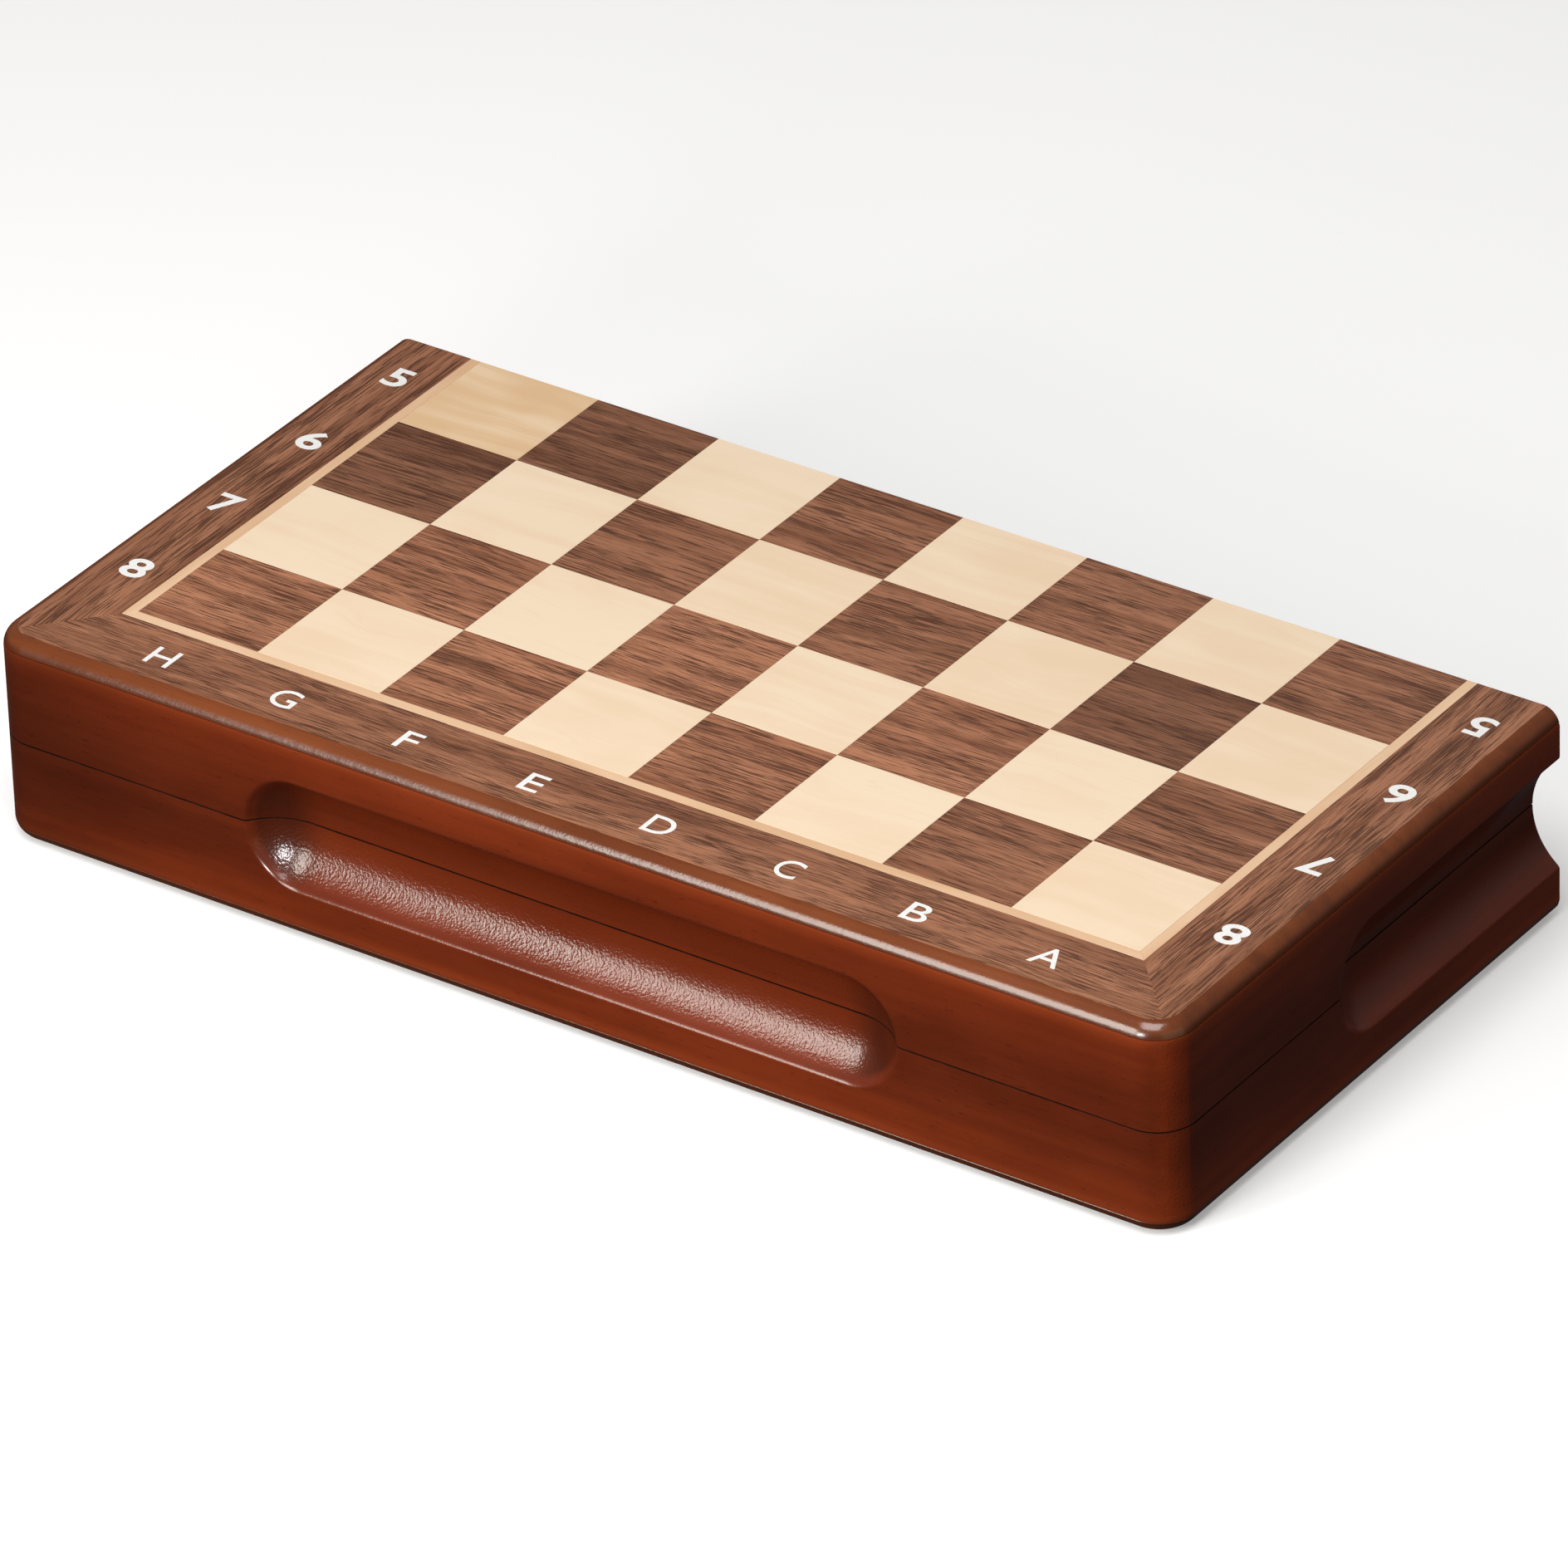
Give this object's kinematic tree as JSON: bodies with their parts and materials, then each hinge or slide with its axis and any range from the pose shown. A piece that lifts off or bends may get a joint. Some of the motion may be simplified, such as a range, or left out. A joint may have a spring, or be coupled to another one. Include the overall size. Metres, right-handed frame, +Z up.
{
  "type": "folding chess set",
  "caption": "Folding chess board case: two hinged veneered trays that open into one chequered board, with finger grooves outside and turned chessmen lying in flocked inserts.",
  "frame": {"origin": "centre of the lower playing face, which the folded case rests on", "axes": "+X along the long side, +Y towards the hinged side, +Z up through both folded halves; the hinge lies on the outer back edge of the seam"},
  "size_m": [0.376, 0.1888, 0.0635],
  "materials": {
    "stained_wood": "red-brown stained hardwood under satin lacquer",
    "panel_core": "amber-brown stained panel edge under satin lacquer",
    "walnut_veneer": "open-grained walnut veneer, satin",
    "maple_veneer": "chequered veneer of maple and walnut squares, satin",
    "maple_stringing": "light maple line, satin",
    "green_flock": "dark green flocked insert",
    "brass": "polished brass",
    "boxwood": "polished boxwood",
    "ebonised_wood": "dark stained wood, polished",
    "magnet_steel": "nickel-plated magnet",
    "white_print": "white screen-printed characters"
  },
  "bodies": {
    "lower_half": {"lower_front_rail": "stained_wood", "lower_left_rail": "stained_wood", "lower_right_rail": "stained_wood", "lower_hinge_rail": "stained_wood", "lower_panel": "panel_core", "lower_border_front": "walnut_veneer", "lower_border_left": "walnut_veneer", "lower_border_right": "walnut_veneer", "lower_stringing": "maple_stringing", "lower_chequer_veneer": "maple_veneer", "lower_tray": "green_flock", "lower_hinge_leaf_left": "brass", "lower_hinge_leaf_right": "brass", "white_rook_1": "boxwood", "white_knight_1": "boxwood", "white_bishop_1": "boxwood", "white_queen": "boxwood", "white_king": "boxwood", "white_bishop_2": "boxwood", "white_knight_2": "boxwood", "white_rook_2": "boxwood", "white_pawn_1": "boxwood", "white_pawn_2": "boxwood", "white_pawn_3": "boxwood", "white_pawn_4": "boxwood", "white_pawn_5": "boxwood", "white_pawn_6": "boxwood", "white_pawn_7": "boxwood", "white_pawn_8": "boxwood", "hinge_pin_left": "brass", "hinge_pin_right": "brass"},
    "upper_half": {"upper_front_rail": "stained_wood", "upper_left_rail": "stained_wood", "upper_right_rail": "stained_wood", "upper_hinge_rail": "stained_wood", "upper_panel": "panel_core", "upper_border_front": "walnut_veneer", "upper_border_left": "walnut_veneer", "upper_border_right": "walnut_veneer", "upper_stringing": "maple_stringing", "upper_chequer_veneer": "maple_veneer", "upper_tray": "green_flock", "upper_hinge_leaf_left": "brass", "upper_hinge_leaf_right": "brass", "black_rook_1": "ebonised_wood", "black_knight_1": "ebonised_wood", "black_bishop_1": "ebonised_wood", "black_queen": "ebonised_wood", "black_king": "ebonised_wood", "black_bishop_2": "ebonised_wood", "black_knight_2": "ebonised_wood", "black_rook_2": "ebonised_wood", "black_pawn_1": "ebonised_wood", "black_pawn_2": "ebonised_wood", "black_pawn_3": "ebonised_wood", "black_pawn_4": "ebonised_wood", "black_pawn_5": "ebonised_wood", "black_pawn_6": "ebonised_wood", "black_pawn_7": "ebonised_wood", "black_pawn_8": "ebonised_wood"}
  },
  "joints": [
    {"name": "board_fold", "type": "hinge", "parent": "lower_half", "child": "upper_half", "pos_m": [0, 0.09325, 0.03175], "axis": [-1, 0, 0], "range_deg": [0, 180]}
  ]
}
